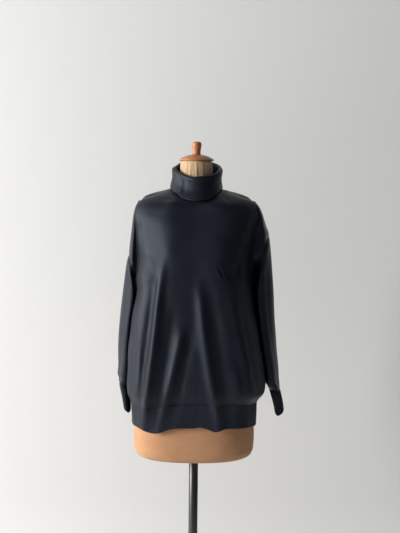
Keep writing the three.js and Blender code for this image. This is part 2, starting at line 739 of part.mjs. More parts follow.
// Sections of the dress form. back and front: depths. square: how square the section is.
const FORM = table(
  ["z", "half", "front", "back", "square"],
  [
    [627, 140, 76, 84, 2.3],
    [630, 156, 89, 93, 2.4],
    [639, 169, 100, 104, 2.5],
    [655, 175, 106, 109, 2.6],
    [690, 177, 108, 111, 2.6],
    [760, 175, 108, 112, 2.5],
    [850, 161, 106, 106, 2.4],
    [935, 139, 102, 94, 2.3],
    [998, 125, 99, 86, 2.3],
    [1065, 127, 106, 88, 2.3],
    [1130, 134, 117, 96, 2.3],
    [1185, 140, 124, 103, 2.3],
    [1240, 146, 114, 108, 2.3],
    [1290, 156, 97, 106, 2.4],
    [1330, 166, 80, 92, 2.5],
    [1358, 169, 64, 74, 2.5],
    [1369.2, 167, 51, 60, 2.4],
    [1376.7, 161, 44, 50, 2.3],
    [1382.5, 140, 40, 45, 2.3],
    [1390.9, 112, 39, 44, 2.2],
    [1401.7, 86, 40, 45, 2.1],
    [1411, 62, 44, 48, 2],
    [1422, 53, 47, 50, 2],
  ],
);
const FORM_SIDES = 32;

function ringsToSolid(rings) {
  const faces = [];
  const count = rings[0].length;
  for (let j = 0; j + 1 < rings.length; j++)
    for (let i = 0; i < count; i++) {
      const k = (i + 1) % count;
      faces.push(...quad(rings[j][i], rings[j][k], rings[j + 1][k], rings[j + 1][i]));
    }
  for (const [ring, flip] of [[rings[0], true], [rings[rings.length - 1], false]]) {
    const middle = ring.reduce((sum, p) => sum.add(p), vec(0, 0, 0)).divideScalar(count);
    for (let i = 0; i < count; i++) {
      const k = (i + 1) % count;
      faces.push(flip ? [middle, ring[k], ring[i]] : [middle, ring[i], ring[k]]);
    }
  }
  return solid(faces);
}

function formGeometry() {
  const rings = FORM.map((row) =>
    Array.from({ length: FORM_SIDES }, (_, i) => {
      const angle = (2 * Math.PI * i) / FORM_SIDES;
      const c = Math.cos(angle);
      const s = Math.sin(angle);
      const power = 2 / row.square;
      const depth = s < 0 ? row.front : row.back;
      return vec(row.half * Math.sign(c) * Math.abs(c) ** power,
        depth * Math.sign(s) * Math.abs(s) ** power, row.z);
    }));
  return ringsToSolid(rings);
}

function neckGeometry() {
  const profile = [
    [0, FORM_TOP + PART_GAP],
    [51, FORM_TOP + PART_GAP],
    [49, 1440],
    [47, 1466],
    [45.5, NECK_TOP],
    [0, NECK_TOP],
  ];
  return turned(profile, 32);
}

const turned = (profile, sides) => {
  const points = profile.map(([r, z]) => new THREE.Vector2(r, z));
  return new THREE.LatheGeometry(points, sides).rotateX(Math.PI / 2);
};

function capGeometry() {
  const bottom = NECK_TOP + PART_GAP;
  return turned([
    [0, bottom],
    [48.2, bottom],
    [50, bottom + 1.6],
    [49.6, bottom + 4],
    [43, bottom + 8.6],
    [33, bottom + 13.6],
    [22, bottom + 16.8],
    [16, bottom + 18],
    [0, bottom + 18],
  ], 32);
}

function knobGeometry() {
  const bottom = NECK_TOP + 2 * PART_GAP + 18;
  return turned([
    [0, bottom],
    [12.4, bottom],
    [11.4, bottom + 4],
    [11.8, bottom + 12],
    [13.2, bottom + 21],
    [14, bottom + 28],
    [13, KNOB_TOP - 3.5],
    [10, KNOB_TOP - 1],
    [0, KNOB_TOP],
  ], 24);
}

function poleGeometry() {
  const bottom = SOCKET_TOP + PART_GAP;
  const top = FORM_BOTTOM - PART_GAP;
  return turned([[0, bottom], [POLE_RADIUS, bottom], [POLE_RADIUS, top], [0, top]], 24);
}

function footGeometry() {
  return turned([
    [0, 0],
    [FOOT_RADIUS - 2, 0],
    [FOOT_RADIUS, 3],
    [FOOT_RADIUS, 9],
    [FOOT_RADIUS - 4, 12],
    [60, 16],
    [26, 20],
    [20, 26],
    [19, SOCKET_TOP],
    [0, SOCKET_TOP],
  ], 40);
}

const material = (color, roughness, metalness = 0) =>
  new THREE.MeshStandardMaterial({ color, roughness, metalness });
const knit = material(0x1c1f26, 0.95);
const linen = material(0xc98f5e, 0.85);
const neckLinen = material(0xd2b791, 0.85);
const wood = material(0xb8693a, 0.4);
const steel = material(0x3a3b3d, 0.35, 0.9);
const iron = material(0x2b2b2c, 0.55, 0.7);

const root = new THREE.Group();
function add(name, geometry, finish) {
  const mesh = new THREE.Mesh(geometry, finish);
  mesh.name = name;
  root.add(mesh);
}

const grids = {
  front: panelGrid("front"),
  back: panelGrid("back"),
  sleeve_right: sleeveGrid("right"),
  sleeve_left: sleeveGrid("left"),
};
const normalAt = sharedNormals(Object.values(grids));
for (const [name, grid] of Object.entries(grids)) add(name, wall(grid, normalAt), knit);
add("hem_rib", hemGeometry(), knit);
add("cuff_right", cuffGeometry("right"), knit);
add("cuff_left", cuffGeometry("left"), knit);
add("collar", collarGeometry(grids.front, grids.back), knit);
add("form_torso", formGeometry(), linen);
add("form_neck", neckGeometry(), neckLinen);
add("neck_cap", capGeometry(), wood);
add("cap_knob", knobGeometry(), wood);
add("stand_pole", poleGeometry(), steel);
add("stand_foot", footGeometry(), iron);

export default root;
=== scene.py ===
"""The looks of a loose turtleneck sweater on a dress form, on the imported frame."""

import math

import bpy
import numpy as np
from mathutils import Matrix


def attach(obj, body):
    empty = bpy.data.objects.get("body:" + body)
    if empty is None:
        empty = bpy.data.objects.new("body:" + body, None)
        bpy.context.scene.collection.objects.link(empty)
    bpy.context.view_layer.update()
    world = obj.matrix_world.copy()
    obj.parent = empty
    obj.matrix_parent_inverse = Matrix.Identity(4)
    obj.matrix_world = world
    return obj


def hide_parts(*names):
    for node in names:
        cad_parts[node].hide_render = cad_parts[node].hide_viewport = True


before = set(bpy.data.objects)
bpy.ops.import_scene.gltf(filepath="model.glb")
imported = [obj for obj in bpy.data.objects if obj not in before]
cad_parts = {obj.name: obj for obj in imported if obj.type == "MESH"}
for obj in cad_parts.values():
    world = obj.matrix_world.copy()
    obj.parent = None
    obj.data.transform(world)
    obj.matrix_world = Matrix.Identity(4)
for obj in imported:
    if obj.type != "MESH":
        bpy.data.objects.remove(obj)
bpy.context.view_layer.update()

MM = 0.001

# Cloth, in millimetres
CLOTH = 1.8
COLLAR_WALL = 2.0
RIB_WALL = 1.4
HEM_RIB_HEIGHT = 0.5
HEM_RIBS = 300
CUFF_RIB_HEIGHT = 0.9
CUFF_RIBS = 46
SEAM_GAP = 0.25
SEAM_PINCH = 0.75
SEAM_WIDTH = 3.2
EDGE_ROLL = 7.0
# How far each sleeve's hidden side leans against the body.
LEAN = {"right": 13, "left": 7}

# Finish of the mesh
PANEL_ROWS = (96, 84)
PANEL_COLUMNS = 96
SLEEVE_RINGS = 150
SLEEVE_COLUMNS = 150
CUFF_RINGS = 24
CUFF_COLUMNS = 240
HEM_RINGS = 26
COLLAR_COLUMNS = 240
TORSO_COLUMNS = 128

# Colours of the knit, dark and light, mixed by slow random changes of tone and by painted shade in the
# hollows of the stitches
KNIT_SHADES = ((0.0055, 0.0075, 0.0125, 1), (0.0145, 0.0175, 0.0265, 1))

# Room: the wall's distance and the radius where it meets the floor in metres, the light from all
# around, and how much of it is lost towards the right.
WALL_Y = 0.62
WALL_RADIUS = 0.25
ROOM_LIGHT = 0.17
ROOM_LOSS = 0.1

# Shoulders, neck and armholes
SHOULDER_TIP = {"right": (176, 0, 1381), "left": (172, 0, 1380)}
SHOULDER_SAG = 7
SHOULDER_CLEARANCE = 5
NECK_SIDE = (72, 0, 1412.4)
NECK = {"front": (-71, 1384), "back": (64, 1417)}
SIDE_Y = 7
ARMHOLE = {
    "right": {"topX": 212.5, "topZ": 1275, "underX": 173.5, "underZ": 1186, "front": 62, "back": 62},
    "left": {"topX": 194, "topZ": 1217, "underX": 174, "underZ": 1151, "front": 60, "back": 62},
}

# Sections of the body from the hem to the shoulder: height and depths at the centre line, then the
# half width where the front turns, the widest half width, the rise towards each side, and the
# depths of the side's corner, edge, hollow and dropped shoulder.
BODY_COLUMNS = (
    "name z front back wideR wideL outR outL riseR riseL backRise crown corner edge valley lobe"
).split()
BODY_ROWS = [
    ["hem", 740, 118, 127, 172, 172, 183, 183, -12, -15, -5, 0, 0.84, -60, -38, -16],
    ["ribMiddle", 774, 120, 129, 174, 174, 184, 184, -13, -15, -6, 0, 0.84, -60, -38, -16],
    ["ribTop", 809, 124, 131, 177, 179, 186, 187, -13, -16, -6, 0, 0.85, -60, -38, -16],
    ["bulge", 843, 138, 140, 198, 189, 202, 193, -12, -16, -6, 0, 0.86, -66, -42, -18],
    ["low", 900, 140, 140, 196, 188, 200, 192, -8, -14, -4, 0, 0.86, -68, -44, -18],
    ["waist", 980, 138, 136, 181, 184, 187, 188, -4, -8, 0, 0, 0.86, -68, -44, -18],
    ["ribCage", 1062, 135, 131, 165, 174, 174, 178, 0, -6, 2, 0, 0.84, -68, -46, -20],
    ["bust", 1130, 133, 126, 153, 162, 167, 168.5, 8, -16, 4, 0, 0.82, -68, -48, -22],
    ["underarm", 1170, 132, 123, 147, 162, 173.5, 174, 16, -19, 8, 0, 0.8, -68, -49, -26],
    ["armhole", 1208, 128, 121, 148, 158, 193, 184, 21, -24, 10, 0, 0.8, -67, -47, -50],
    ["dropSeam", 1245, 121, 119, 152, 155, 212.5, 194, 30, -28, 12, 0, 0.8, -65, -44, -47],
    ["dropped", 1290, 107, 116, 162, 159, 203, 188, 20, -8, 14, 4, 0.82, -62, -46, -43],
    ["collarBone", 1330, 93, 107, 167, 165, 193, 181.5, 10, 2, 18, 8, 0.82, -54, -44, -36],
    ["shoulder", 1362, 82, 93, 146, 144, 183, 175, 2, 2, 26, 16, 0.72, -42, -36, -24],
    ["seam", 1384, 71, 64, 0, 0, 176, 172, 0, 0, 0, 0, 0, 0, 0, 0],
]
BODY = [dict(zip(BODY_COLUMNS, row)) for row in BODY_ROWS]
SECTION = {row["name"]: i for i, row in enumerate(BODY)}
GUIDE_RISE = [0, 0.06, 0.3, 0.6, 0.82, 0.96, 1]
GUIDE_CROWN = [0, 0.35, 0.9, 1, 0.8, 0.4, 0]

# Long folds in the front view: top x and z, bottom x and z, outward bow, widths, height.
FRONT_FOLDS = [
    [-87, 1240, -136, 779, 2, 11, 10, 14],
    [-108, 1235, -149, 900, 3, 14, 11, -7],
    [-56, 1120, -97, 800, 0, 17, 14, -6],
    [-27, 1050, -87, 800, 2, 14, 11, 9],
    [-2, 1080, -54, 800, 0, 20, 17, -6],
    [8, 1190, 64, 790, -8, 14, 11, 9],
    [36, 1165, 94, 800, 2, 17, 15, -5],
    [80, 1215, 165, 820, 0, 17, 14, 3],
    [120, 1150, 174, 860, 0, 15, 12, -4],
    [114, 945, 118, 800, 0, 9, 9, 2],
    [-170, 1060, -176, 850, 0, 7, 8, -4],
]
BACK_FOLDS = [
    [-92, 1260, -128, 775, 8, 22, 18, 9],
    [-62, 1210, -92, 785, 4, 22, 20, -9],
    [-28, 1180, -50, 780, 6, 20, 18, 7],
    [0, 1150, 2, 775, 0, 24, 24, -8],
    [34, 1210, 52, 780, -5, 20, 18, 8],
    [66, 1190, 98, 790, -5, 22, 20, -8],
    [98, 1265, 136, 780, -8, 20, 16, 9],
    [-150, 1100, -158, 800, 0, 12, 12, -5],
    [150, 1120, 164, 810, 0, 12, 12, -5],
]
HEM_WAVES = [[-112, 36, -15], [18, 14, 3], [60, 19, -9]]

# Short creases: ends in the front view, width and height.
FRONT_CREASES = [
    [-46, 1376, -92, 1364, 6, 2.6],
    [-58, 1386, -112, 1378, 5, -1.8],
    [-50, 1380, -98, 1392, 3.6, 2.2],
    [80, 1402, 118, 1384, 5, 2.4],
    [82, 1396, 102, 1384, 2.4, 1.8],
    [86, 1388, 106, 1375, 2.4, 1.6],
    [70, 1392, 104, 1372, 5, -1.6],
    [54, 1198, 74, 1160, 2.6, 2.4],
    [61, 1200, 80, 1160, 2.6, -2.4],
    [68, 1202, 92, 1156, 2.6, 2.2],
    [75, 1196, 97, 1154, 2.6, -1.8],
    [-136, 1236, -100, 1150, 10, 2.4],
    [-150, 1200, -118, 1120, 9, -2.6],
    [138, 1250, 104, 1160, 10, -2.4],
    [146, 1226, 122, 1140, 9, 2.4],
    [-166, 1046, -174, 990, 4, 2.2],
    [-160, 1000, -170, 815, 5, -3],
    [-150, 985, -162, 815, 5, 2.6],
    [-141, 960, -152, 815, 4, -2],
    [120, 900, 128, 826, 5, 1.8],
    [-30, 900, -44, 828, 7, -2],
    [150, 1330, 168, 1260, 7, -2],
    [-152, 1330, -160, 1262, 6, -1.6],
]
BACK_CREASES = [
    [-40, 1396, -104, 1372, 7, 2.4],
    [44, 1398, 108, 1374, 7, 2.2],
    [-138, 1230, -96, 1140, 10, 2.6],
    [140, 1244, 100, 1150, 10, 2.6],
    [-146, 1190, -120, 1110, 9, -2.4],
    [148, 1206, 120, 1130, 9, -2.4],
    [-24, 930, -32, 836, 7, 2],
    [70, 900, 80, 830, 7, -2],
]

# Sleeve sections: height, middle, half sizes, tilt.
SLEEVES = {
    "right": [
        [1230, 195, 7, 18.5, 62, 44],
        [1180, 201, 9, 20.5, 66, 26],
        [1120, 200, 13, 27.6, 70, 8],
        [1030, 207.4, 15, 26, 69, 0],
        [960, 216, 13, 23.5, 65, 0],
        [895, 225.5, 8, 21, 59, 0],
        [856, 228, 6, 21.6, 52, 0],
        [828, 236, 5, 15, 40, 0],
    ],
    "left": [
        [1184, 186.5, 7, 9.5, 60, 33],
        [1148, 192.5, 10, 12.5, 64, 18],
        [1100, 193.6, 14, 18.4, 68, 6],
        [1030, 202.7, 18, 17.8, 69, 0],
        [960, 208.1, 20, 16.9, 65, 0],
        [895, 209.5, 19, 16.5, 58, 0],
        [862, 209.5, 19, 16.5, 51, 2],
        [836, 208, 19, 13.5, 40, 3],
    ],
}
# Folds down a sleeve: place round it, drift, width and height.
SLEEVE_FOLDS = [
    [0.12, 0.03, 0.05, -3.4],
    [0.24, 0.05, 0.05, 3],
    [0.38, 0, 0.06, -3],
    [0.66, 0.02, 0.06, -3],
    [0.86, -0.05, 0.06, -3.4],
]
# Cuff sections, as for the sleeves.
CUFFS = {
    "right": [
        [827.8, 236.3, 5, 14.8, 39.5, 0],
        [790, 246.5, 5, 13, 38, 3],
        [760, 252.5, 6, 11, 39.5, 7],
    ],
    "left": [
        [835.8, 207.9, 19, 13.3, 39.5, 3],
        [797, 202.6, 21, 10.4, 37.5, 3],
        [761, 199.5, 24, 9, 38.5, 8],
    ],
}
# Collar: the folded rim and the loose edge.
COLLAR_RIM = {"front": 69, "back": 74, "side": 72, "frontZ": 1444, "sideZ": 1472, "backZ": 1500}
COLLAR_EDGE = {"front": 88, "back": 80, "side": 74.5, "frontZ": 1377, "sideZ": 1415, "backZ": 1423}
RIM_RISE = 1.4
COLLAR_FOLD = 5.2

# Dress form: height, half width, front and back depth, squareness.
FORM = [
    [627, 140, 76, 84, 2.3],
    [630, 156, 89, 93, 2.4],
    [639, 169, 100, 104, 2.5],
    [655, 175, 106, 109, 2.6],
    [690, 177, 108, 111, 2.6],
    [760, 175, 108, 112, 2.5],
    [850, 161, 106, 106, 2.4],
    [935, 139, 102, 94, 2.3],
    [998, 125, 99, 86, 2.3],
    [1065, 127, 106, 88, 2.3],
    [1130, 134, 117, 96, 2.3],
    [1185, 140, 124, 103, 2.3],
    [1240, 146, 114, 108, 2.3],
    [1290, 156, 97, 106, 2.4],
    [1330, 166, 80, 92, 2.5],
    [1358, 169, 64, 74, 2.5],
    [1369.2, 167, 51, 60, 2.4],
    [1376.7, 161, 44, 50, 2.3],
    [1382.5, 140, 40, 45, 2.3],
    [1390.9, 112, 39, 44, 2.2],
    [1401.7, 86, 40, 45, 2.1],
    [1411, 62, 44, 48, 2],
    [1422, 53, 47, 50, 2],
]


def mix(a, b, t):
    return a + (b - a) * t


def smooth(x):
    x = np.clip(x, 0, 1)
    return x * x * (3 - 2 * x)


def hill(x):
    return np.exp(-x * x)


def through(points, t):
    """A smooth curve through points at whole numbers, evaluated at every t."""
    points = np.asarray(points, float)
    t = np.atleast_1d(np.asarray(t, float))
    padded = np.concatenate(
        [2 * points[:1] - points[1:2], points, 2 * points[-1:] - points[-2:-1]]
    )
    i = np.clip(np.floor(t).astype(int), 0, len(points) - 2)
    f = (t - i).reshape((-1,) + (1,) * (points.ndim - 1))
    a, b, c, d = (padded[i + k] for k in range(4))
    return 0.5 * (
        2 * b + (c - a) * f + (2 * a - 5 * b + 4 * c - d) * f**2 + (3 * b - a - 3 * c + d) * f**3
    )


def ripple(x, y, seed):
    """Slow uneven waves, the same on every run, about one high."""
    rng = np.random.default_rng(seed)
    total = np.zeros(np.broadcast(x, y).shape)
    for _ in range(7):
        angle = rng.uniform(0, math.pi)
        length = rng.uniform(45, 120)
        phase = rng.uniform(0, 2 * math.pi)
        along = x * math.cos(angle) + y * math.sin(angle) * 0.6
        total += np.sin(2 * math.pi * along / length + phase)
    return total / 3.5


# Body
def armhole_point(side, turn):
    """A point of the seam round the armhole. turn: 0 at its top, 0.25 in front."""
    a = ARMHOLE[side]
    turn = np.asarray(turn, float)
    down = (1 - np.cos(2 * np.pi * turn)) / 2
    reach = np.where(turn < 0.5, a["front"], a["back"])
    sign = -1 if side == "left" else 1
    return np.stack(
        [
            sign * mix(a["topX"], a["underX"], down),
            SIDE_Y - reach * np.sin(2 * np.pi * turn),
            mix(a["topZ"], a["underZ"], down),
        ],
        -1,
    )


def top_edge(u, half):
    """Half the neckline up to guide 2, then the shoulder seam to its tip."""
    neck_y, neck_z = NECK[half]
    points = []
    for value in np.atleast_1d(u):
        side = "left" if value < 0 else "right"
        sign = -1 if value < 0 else 1
        across = abs(value)
        if across >= 2:
            share = (across - 2) / 4
            x, y, z = mix(np.array(NECK_SIDE, float), np.array(SHOULDER_TIP[side], float), share)
            points.append([sign * x, y, z - SHOULDER_SAG * math.sin(math.pi * share)])
        else:
            turn = math.pi / 4 * across
            points.append([
                sign * NECK_SIDE[0] * math.sin(turn),
                neck_y * math.cos(turn),
                mix(NECK_SIDE[2], neck_z, max(math.cos(turn), 0) ** 1.3),
            ])
    return np.array(points)


def guide_points(row, side, half):
    """Seven points of a section, from the centre line out to the side."""
    if row["name"] == "seam":
        return seam_guides(side, half)
    sign = -1 if side == "left" else 1
    front = half == "front"
    wide = (row["wideL"] if side == "left" else row["wideR"]) + (0 if front else 4)
    out = row["outL"] if side == "left" else row["outR"]
    rise = row["riseL"] if side == "left" else row["riseR"]
    depth = -row["front"] if front else row["back"]
    turned = 1 if front else -1
    on_lobe = row["z"] > BODY[SECTION["underarm"]]["z"]
    valley = row["valley"] * (1.15 if on_lobe and not front else 1)
    corner = row["corner"] if front else max(row["corner"], 0.8)
    seats = [
        (0, depth),
        (0.46 * wide, depth * (1 if front else 0.99)),
        (0.82 * wide, depth * corner),
        (wide, turned * row["edge"]),
        (mix(wide, out, 0.3 if on_lobe else 0.55), turned * valley),
        (mix(wide, out, 0.72 if on_lobe else 0.8), turned * row["lobe"] + (0 if front else SIDE_Y)),
        (out, SIDE_Y),
    ]
    centre = row["z"] + (0 if front else row["backRise"])
    return np.array([
        [sign * x, y, mix(centre, row["z"] + rise, GUIDE_RISE[i]) + row["crown"] * GUIDE_CROWN[i]]
        for i, (x, y) in enumerate(seats)
    ])


def seam_guides(side, half):
    if side == "right":
        return top_edge(np.arange(7.0), half)
    points = top_edge(-np.arange(7.0) - 1e-9, half)
    points[0, 0] = 0
    return points


def body_points(v, u, half):
    """The body cloth without its folds. v: section number, u: -6 left seam to 6 right seam."""
    v = np.asarray(v, float)
    sides = {}
    under, drop, bust = SECTION["underarm"], SECTION["dropSeam"], SECTION["bust"]
    for side in ("left", "right"):
        lines = np.array([guide_points(row, side, half) for row in BODY])
        points = through(lines, v)
        turn = np.clip(0.5 - (v - under) / (drop - under) / 2, 0, 0.5)
        loop = armhole_point(side, turn if half == "front" else 1 - turn)
        on_loop = (v >= under) & (v <= drop)
        points[on_loop, 6] = loop[on_loop]
        below = v - bust
        arch = (below > 0) & (below < 1)
        points[arch, 6, 0] = mix(lines[bust, 6, 0], lines[under, 6, 0], below[arch] ** 3)
        sides[side] = points
    ring = np.concatenate([sides["left"][:, :0:-1], sides["right"]], 1)
    grid = through(ring.transpose(1, 0, 2), np.asarray(u) + 6).transpose(1, 0, 2)
    last = SECTION["seam"]
    if v[-1] == last:
        near = smooth(v - last + 1)[:, None, None] ** 2
        top = through(ring[-1:].transpose(1, 0, 2), np.asarray(u) + 6)[:, 0]
        grid = grid + near * (top_edge(u, half) - top)[None]
    return grid


def fold_height(folds, x, z):
    """How far the long folds stand out at places in the front view."""
    total = np.zeros(x.shape)
    for top_x, top_z, bottom_x, bottom_z, bow, top_w, bottom_w, height in folds:
        t = (top_z - z) / (top_z - bottom_z)
        share = np.clip(t, 0, 1)
        line = mix(top_x, bottom_x, t) + bow * np.sin(np.pi * share)
        fade = smooth(t / 0.35) * (1 - 0.55 * smooth((t - 0.88) / 0.2))
        total += height * fade * hill((x - line) / mix(top_w, bottom_w, share))
    return total


def crease_height(creases, x, z):
    """How far the short creases stand out at places in the front view."""
    total = np.zeros(x.shape)
    for ax, az, bx, bz, width, height in creases:
        length = math.hypot(bx - ax, bz - az)
        dx, dz = (bx - ax) / length, (bz - az) / length
        along = (x - ax) * dx + (z - az) * dz
        across = (x - ax) * dz - (z - az) * dx
        ends = smooth(along / (0.4 * length)) * smooth((length - along) / (0.4 * length))
        total += height * ends * hill(across / width)
    return total


def pleat_height(u, v):
    """Small uneven gathers where the body runs into the hem's rib."""
    near = smooth((v - 1.9) / 0.5) * (1 - smooth((v - 2.9) / 1.1))
    wave = np.sin(34 * u + 1.5 * np.sin(3.1 * u)) + 0.6 * np.sin(21 * u + 2 + np.sin(5.3 * u))
    return 0.55 * near * wave * (0.6 + 0.4 * np.sin(2.3 * u + 1))


def cloth_points(v, u, half, fine=True):
    """The body cloth with its folds, and with the small creases where fine is true."""
    front = half == "front"
    v = np.asarray(v, float)
    u = np.asarray(u, float)
    grid = body_points(v, u, half)
    step = 0.05
    ahead = body_points(v, u + step, half)
    behind = body_points(v, u - step, half)
    along = ahead - behind
    along[..., 2] = 0
    along /= np.maximum(np.linalg.norm(along, axis=-1, keepdims=True), 1e-9)
    turned = 1 if front else -1
    out = np.stack([along[..., 1], -along[..., 0], np.zeros(along.shape[:2])], -1) * turned
    x, z = grid[..., 0], grid[..., 2]
    seamward = 1 - smooth((np.abs(u)[None] - 4.2) / 1.4)
    share = 1 - 0.35 * smooth((SECTION["ribTop"] - v[:, None]) / 2)
    height = fold_height(FRONT_FOLDS if front else BACK_FOLDS, x, z) * share
    if fine:
        below_seam = smooth((SECTION["seam"] - v[:, None]) / 0.25)
        height += below_seam * crease_height(FRONT_CREASES if front else BACK_CREASES, x, z)
        height += pleat_height(u[None], v[:, None])
        calm = smooth((v[:, None] - 1.5) / 2) * (1 - 0.6 * smooth((v[:, None] - 11) / 3))
        height += 0.7 * calm * ripple(x, z, 5 if front else 6)
    grid = grid + out * (height * seamward)[..., None]
    if front:
        on_rib = 1 - smooth((v[:, None] - 0.5) / 3.5)
        lift = sum(w[2] * hill((grid[..., 0] - w[0]) / w[1]) for w in HEM_WAVES)
        grid[..., 2] += lift * on_rib * seamward
    return grid


# Meshes
def lengths(grid, axis):
    """How far each line of a grid lies from the first along an axis, averaged over the grid."""
    steps = np.linalg.norm(np.diff(grid, axis=axis), axis=-1).mean(1 - axis)
    return np.concatenate([[0], np.cumsum(steps)])


def grid_normals(grid, wrap):
    """Unit normals of a grid, whose columns close into a ring where wrap is true."""
    if wrap:
        along = np.roll(grid, -1, 1) - np.roll(grid, 1, 1)
    else:
        along = np.gradient(grid, axis=1)
    up = np.gradient(grid, axis=0)
    n = np.cross(along, up)
    return n / np.maximum(np.linalg.norm(n, axis=-1, keepdims=True), 1e-12)


def pinch_rows(grid, normals, first, last):
    """Draws the cloth in along a grid's first or last row, as a linked seam does."""
    down = np.cumsum(np.linalg.norm(np.diff(grid, axis=0), axis=-1), 0)
    down = np.concatenate([np.zeros((1, grid.shape[1])), down])
    depth = np.zeros(down.shape)
    if first:
        depth += hill(down / SEAM_WIDTH)
    if last:
        depth += hill((down[-1:] - down) / SEAM_WIDTH)
    return grid - normals * (SEAM_PINCH * depth)[..., None]


def pinch_columns(grid, normals):
    """The same along both sides of a grid."""
    turned = pinch_rows(grid.transpose(1, 0, 2), normals.transpose(1, 0, 2), True, True)
    return turned.transpose(1, 0, 2)


def new_object(name, vertices, faces, uvs, material):
    mesh = bpy.data.meshes.new(name)
    mesh.from_pydata(vertices.tolist(), [], faces)
    layer = mesh.uv_layers.new(name="UVMap")
    index = np.zeros(len(mesh.loops), int)
    mesh.loops.foreach_get("vertex_index", index)
    layer.data.foreach_set("uv", uvs[index].astype(np.float32).ravel())
    mesh.polygons.foreach_set("use_smooth", [True] * len(mesh.polygons))
    mesh.materials.append(material)
    mesh.update()
    obj = bpy.data.objects.new(name, mesh)
    bpy.context.scene.collection.objects.link(obj)
    return obj


def shell(name, outer, inner, wrap, material, swap=False):
    """A closed wall from two matching grids in millimetres, with plane coordinates in metres.

    swap turns the faces over where the grids run the other way round.
    """
    high, wide = outer.shape[:2]
    along = lengths(outer, 1)
    up = lengths(outer, 0)
    uv = np.stack(np.meshgrid(along, up), -1).reshape(-1, 2) * MM
    vertices = np.concatenate([outer.reshape(-1, 3), inner.reshape(-1, 3)]) * MM
    at = np.arange(high * wide).reshape(high, wide)
    if wrap:
        at = np.concatenate([at, at[:, :1]], 1)
    inside = at + high * wide
    quads = [
        np.stack([at[:-1, :-1], at[:-1, 1:], at[1:, 1:], at[1:, :-1]], -1).reshape(-1, 4),
        np.stack([inside[:-1, :-1], inside[1:, :-1], inside[1:, 1:], inside[:-1, 1:]], -1).reshape(-1, 4),
    ]
    for j, flip in ((0, False), (high - 1, True)):
        rim = np.stack([at[j, :-1], inside[j, :-1], inside[j, 1:], at[j, 1:]], -1)
        quads.append(rim[:, ::-1] if flip else rim)
    if not wrap:
        for i, flip in ((0, True), (wide - 1, False)):
            rim = np.stack([at[:-1, i], inside[:-1, i], inside[1:, i], at[1:, i]], -1)
            quads.append(rim[:, ::-1] if flip else rim)
    faces = np.concatenate(quads)
    if swap:
        faces = faces[:, ::-1]
    return new_object(name, vertices, faces.tolist(), np.concatenate([uv, uv]), material)


def seam_gap(grid, amount, columns=True):
    """Moves a grid's first and last rows in along the cloth, and its sides where columns is true."""
    out = grid.copy()

    def step(a, b):
        d = b - a
        return a + d / np.maximum(np.linalg.norm(d, axis=-1, keepdims=True), 1e-9) * amount

    out[0] = step(grid[0], grid[1])
    out[-1] = step(grid[-1], grid[-2])
    if columns:
        out[:, 0] = step(out[:, 0], out[:, 1])
        out[:, -1] = step(out[:, -1], out[:, -2])
    return out


def round_tips(grid):
    """Rounds the shoulders' outer corners off, alike on both panels."""
    for side, sign in (("left", -1), ("right", 1)):
        away = grid - np.array(SHOULDER_TIP[side], float) * [sign, 1, 1]
        near = hill(np.linalg.norm(away, axis=-1) / 15)
        grid[..., 0] -= sign * 4.5 * near
        grid[..., 2] -= 4.0 * near
    # The seam stands up a little beside the collar.
    bump = hill((grid[..., 0] - 90) / 7) * hill(grid[..., 1] / 12) * smooth((grid[..., 2] - 1380) / 15)
    grid[..., 2] += 3.5 * bump
    return grid


def across_panel():
    """Places from one side seam to the other, with one on the centre line."""
    left = -np.linspace(6, 0, PANEL_COLUMNS, endpoint=False)
    return np.concatenate([left, np.linspace(0, 6, PANEL_COLUMNS + 1)])


def panel(half, material):
    v = np.concatenate([
        np.linspace(SECTION["ribTop"], SECTION["underarm"], PANEL_ROWS[0], endpoint=False),
        np.linspace(SECTION["underarm"], SECTION["seam"], PANEL_ROWS[1]),
    ])
    grid = round_tips(cloth_points(v, across_panel(), half))
    if half == "back":
        grid = grid[:, ::-1]
    grid = seam_gap(grid, SEAM_GAP)
    n = grid_normals(grid, False)
    grid = pinch_rows(grid, n, False, True)
    grid = pinch_columns(grid, n)
    return shell(half, grid + n * CLOTH / 2, grid - n * CLOTH / 2, False, material)


def tube_points(rows, at, turn, sign, swell):
    """Rings of a sleeve or cuff through its sections, swollen by its folds."""
    rows = through(np.array(rows, float), at)[:, None, :]
    angle = 2 * np.pi * turn[None]
    power = 0.86
    across = np.sign(np.cos(angle)) * np.abs(np.cos(angle)) ** power
    along = np.sign(np.sin(angle)) * np.abs(np.sin(angle)) ** power
    return np.stack(
        [
            sign * (rows[..., 1] + (rows[..., 3] + swell) * across),
            rows[..., 2] - (rows[..., 4] + swell) * along,
            rows[..., 0] + rows[..., 5] * np.cos(angle),
        ],
        -1,
    )


